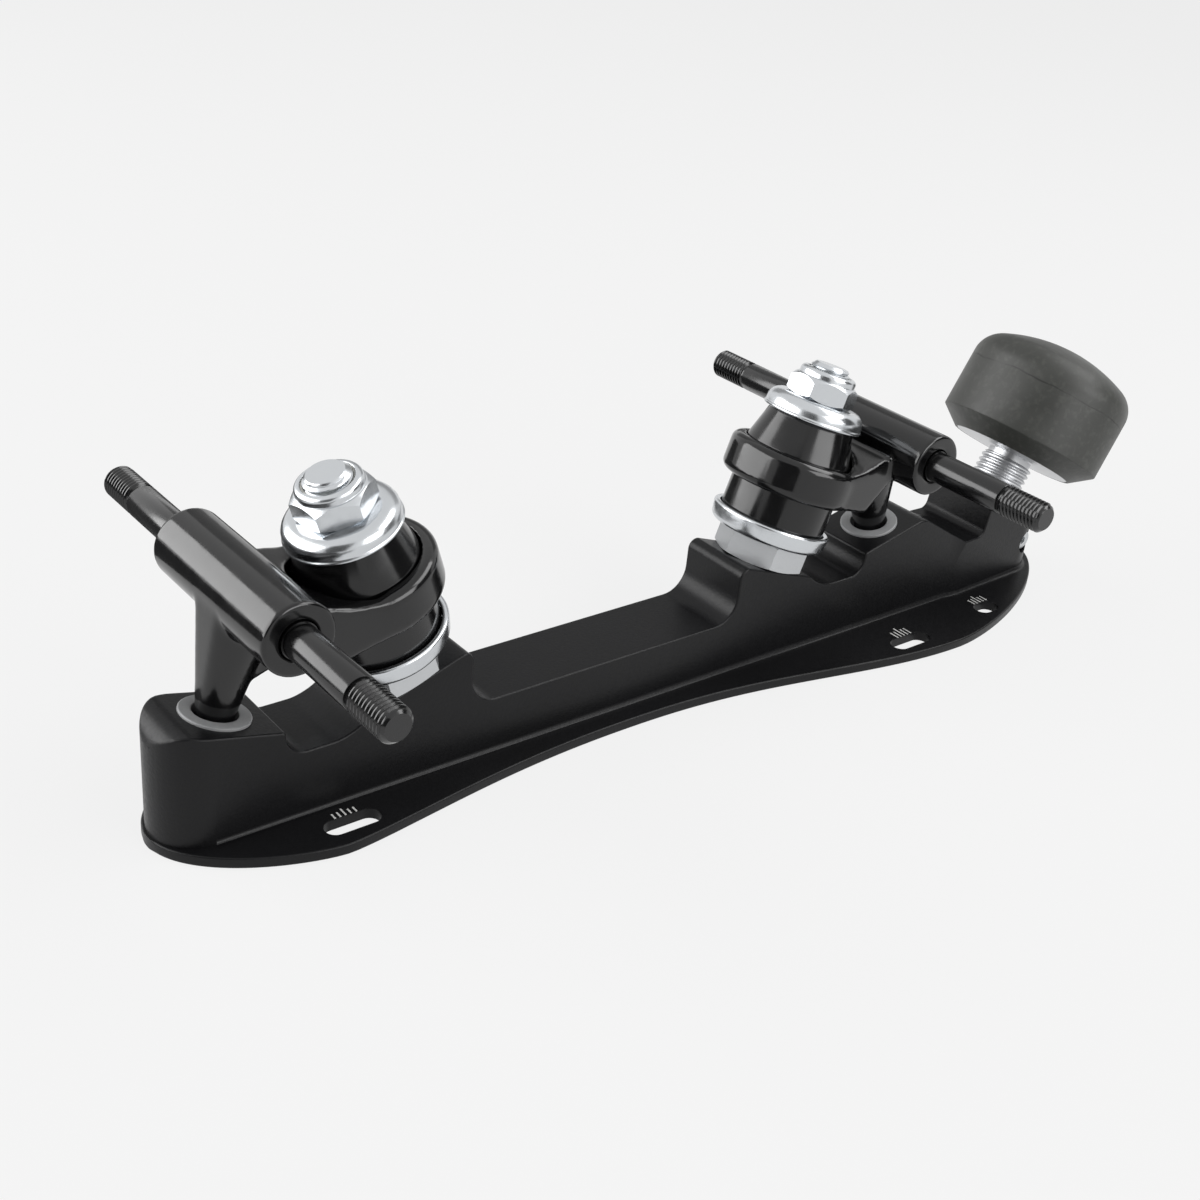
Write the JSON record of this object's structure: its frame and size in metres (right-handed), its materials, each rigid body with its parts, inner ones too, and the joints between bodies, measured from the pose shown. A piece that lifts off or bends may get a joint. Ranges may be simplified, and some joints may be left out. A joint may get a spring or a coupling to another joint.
{
  "type": "roller skate plate",
  "caption": "Quad roller skate plate: slotted aluminium base with steering trucks on cushioned kingpins, plain axles for wheels, and a screwed toe stop with a rubber stopper.",
  "frame": {"origin": "on the flat face that lies against the boot, on the centre line, midway between the two axles", "axes": "+X from heel to toe, +Z away from the boot towards the axles, +Y across the plate, with the head of the clamp screw on the -Y side"},
  "size_m": [0.2742, 0.1064, 0.0707],
  "materials": {
    "plate": "satin black anodised",
    "hanger": "gloss black coating on a casting",
    "axle": "black oxide",
    "zinc": "bright zinc",
    "zinc_dull": "dull zinc",
    "chrome": "polished",
    "cushion": "glossy black urethane",
    "cup": "moulded grey",
    "nylon": "natural nylon",
    "stem": "bright turned",
    "stopper": "matte dark grey"
  },
  "bodies": {
    "plate": {"baseplate": "plate", "rear_kingpin": "zinc", "rear_base_nut": "zinc_dull", "rear_lower_washer": "zinc", "rear_lower_bushing": "cushion", "rear_upper_bushing": "cushion", "rear_pivot_cup": "cup", "front_kingpin": "zinc", "front_base_nut": "zinc_dull", "front_lower_washer": "zinc", "front_lower_bushing": "cushion", "front_upper_bushing": "cushion", "front_pivot_cup": "cup"},
    "rear_truck": {"rear_hanger": "hanger", "rear_axle": "axle"},
    "rear_washer": {"rear_upper_washer": "chrome"},
    "rear_nut": {"rear_lock_nut": "zinc", "rear_nut_insert": "nylon"},
    "front_truck": {"front_hanger": "hanger", "front_axle": "axle"},
    "front_washer": {"front_upper_washer": "chrome"},
    "front_nut": {"front_lock_nut": "zinc", "front_nut_insert": "nylon"},
    "stem": {"toe_stop_stem": "stem"},
    "stopper": {"toe_stop_rubber": "stopper"},
    "clamp_screw": {"toe_clamp_screw": "zinc"}
  },
  "joints": [
    {"name": "rear_steer", "type": "hinge", "parent": "plate", "child": "rear_truck", "pos_m": [-0.08939, 0, 0.0211], "axis": [0.7967, 0, 0.6044], "range_deg": [-10, 10], "stiffness_Nm_per_rad": 10, "deforming": ["rear_lower_bushing", "rear_upper_bushing"]},
    {"name": "front_steer", "type": "hinge", "parent": "plate", "child": "front_truck", "pos_m": [0.08939, 0, 0.0211], "axis": [-0.7967, 0, 0.6044], "range_deg": [-10, 10], "stiffness_Nm_per_rad": 10, "deforming": ["front_lower_bushing", "front_upper_bushing"]},
    {"name": "rear_preload", "type": "slide", "parent": "plate", "child": "rear_washer", "axis": [-0.3256, 0, 0.9455], "range_m": [-0.00106, 0.00053], "deforming": ["rear_upper_bushing"]},
    {"name": "rear_nut_turn", "type": "hinge", "parent": "rear_washer", "child": "rear_nut", "pos_m": [-0.0501, 0, 0.0242], "axis": [-0.3256, 0, 0.9455], "range_deg": [-360, 180]},
    {"name": "front_preload", "type": "slide", "parent": "plate", "child": "front_washer", "axis": [0.3256, 0, 0.9455], "range_m": [-0.00106, 0.00053], "deforming": ["front_upper_bushing"]},
    {"name": "front_nut_turn", "type": "hinge", "parent": "front_washer", "child": "front_nut", "pos_m": [0.0501, 0, 0.0242], "axis": [0.3256, 0, 0.9455], "range_deg": [-360, 180]},
    {"name": "stop_height", "type": "slide", "parent": "plate", "child": "stem", "axis": [0.5, 0, 0.866], "range_m": [-0.003, 0.006]},
    {"name": "stop_turn", "type": "hinge", "parent": "stem", "child": "stopper", "pos_m": [0.135, 0, 0.0217], "axis": [0.5, 0, 0.866], "range_deg": [-720, 1440]},
    {"name": "clamp_turn", "type": "hinge", "parent": "plate", "child": "clamp_screw", "pos_m": [0.1443, 0, 0.01013], "axis": [0, -1, 0], "range_deg": [0, 360]}
  ],
  "couplings": [
    {"joint": "rear_preload", "follows": "rear_nut_turn", "m_per_rad": 0.0001684},
    {"joint": "front_preload", "follows": "front_nut_turn", "m_per_rad": 0.0001684},
    {"joint": "stop_height", "follows": "stop_turn", "m_per_rad": 0.00023873}
  ]
}
